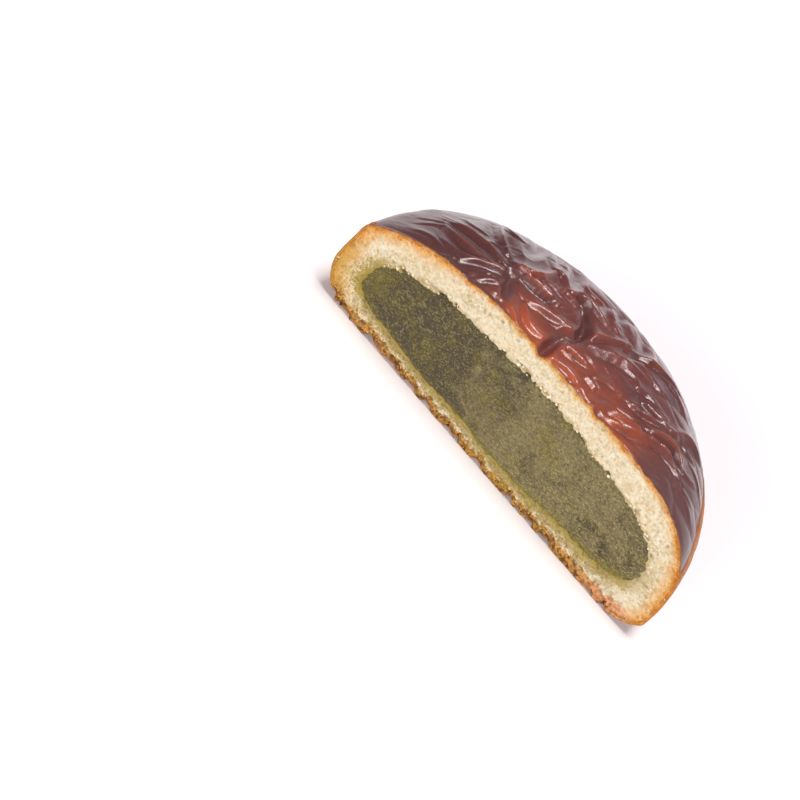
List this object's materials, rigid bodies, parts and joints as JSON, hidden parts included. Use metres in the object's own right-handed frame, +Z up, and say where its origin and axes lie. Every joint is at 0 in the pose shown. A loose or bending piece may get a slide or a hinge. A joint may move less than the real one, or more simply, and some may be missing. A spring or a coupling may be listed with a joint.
{
  "type": "anpan half",
  "caption": "Half of a round sweet bun cut through the middle: glazed wrinkled top, matte tan side, flat base, pale crumb and green bean paste showing in the cut.",
  "frame": {"origin": "on the table under the middle of the half's bounding box", "axes": "+X along the cut, +Y from the cut face into the bun, +Z up; the cut face looks along -Y"},
  "size_m": [0.0942, 0.04, 0.0336],
  "materials": {
    "bread": "baked bread: glossy dark brown glaze on top, matte tan side, pale crumb in the cut",
    "bean_paste": "matte, mottled olive green bean paste"
  },
  "bodies": {
    "root": {"bread": "bread", "filling": "bean_paste"}
  },
  "joints": []
}
